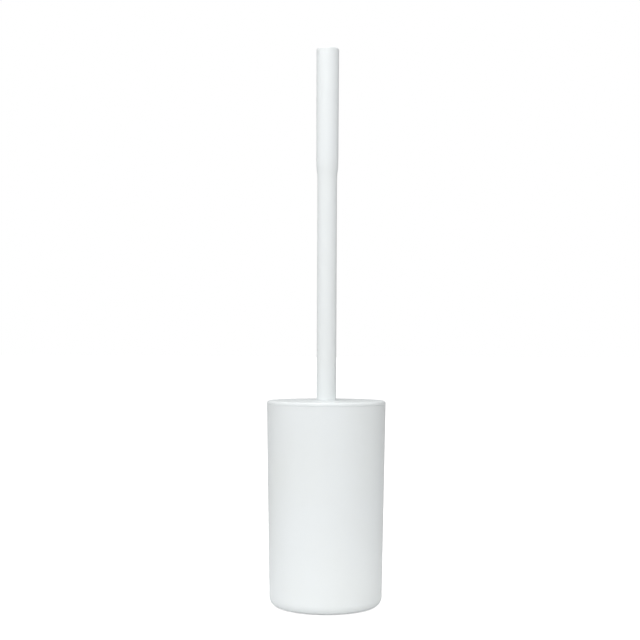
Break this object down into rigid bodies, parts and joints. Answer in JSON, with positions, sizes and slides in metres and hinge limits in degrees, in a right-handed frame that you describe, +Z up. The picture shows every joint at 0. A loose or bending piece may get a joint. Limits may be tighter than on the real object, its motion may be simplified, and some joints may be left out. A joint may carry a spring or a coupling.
{
  "type": "toilet brush holder",
  "caption": "Slim tapered cup with a flush round lid carried on a straight handle, and a screw-on bristle brush head hanging inside.",
  "frame": {"origin": "centre of the base, on the surface that the foot ring stands on", "axes": "+Z up along the axis that the cup, lid and handle share; the part is round, so +X and +Y are free"},
  "size_m": [0.0926, 0.0926, 0.435],
  "materials": {
    "cup_plastic": "satin white moulded plastic",
    "lid_plastic": "satin white moulded plastic",
    "handle_plastic": "satin white moulded plastic",
    "stem_plastic": "satin white moulded plastic",
    "head_plastic": "satin white moulded plastic",
    "bristles": "fine white nylon filaments in tufts",
    "soft_rubber": "matte light grey soft rubber",
    "staple_wire": "flat steel wire"
  },
  "bodies": {
    "holder": {"holder_cup": "cup_plastic", "foot_ring": "soft_rubber"},
    "lid": {"lid_disc": "lid_plastic"},
    "handle": {"handle_tube": "handle_plastic", "handle_end_cap": "handle_plastic", "stem": "stem_plastic"},
    "washer": {"head_washer": "soft_rubber"},
    "head": {"head_core": "head_plastic", "tuft_staples": "staple_wire", "bristle_row_1": "bristles", "bristle_row_2": "bristles", "bristle_row_3": "bristles", "bristle_row_4": "bristles", "bristle_row_5": "bristles", "bristle_row_6": "bristles", "bristle_row_7": "bristles", "bristle_row_8": "bristles", "bristle_dome_upper": "bristles", "bristle_dome_lower": "bristles", "bristle_end_tuft": "bristles"}
  },
  "joints": [
    {"name": "brush_lift", "type": "slide", "parent": "holder", "child": "lid", "axis": [0, 0, 1], "range_m": [0, 0.17]},
    {"name": "handle_spin", "type": "hinge", "parent": "lid", "child": "handle", "pos_m": [0, 0, 0.16], "axis": [0, 0, 1], "continuous": true},
    {"name": "head_advance", "type": "slide", "parent": "handle", "child": "washer", "axis": [0, 0, -1], "range_m": [0, 0.0105]},
    {"name": "head_unscrew", "type": "hinge", "parent": "washer", "child": "head", "pos_m": [0, 0, 0.106], "axis": [0, 0, -1], "range_deg": [0, 1260.5]}
  ],
  "couplings": [
    {"joint": "head_unscrew", "follows": "head_advance", "rad_per_m": 2094.4}
  ]
}
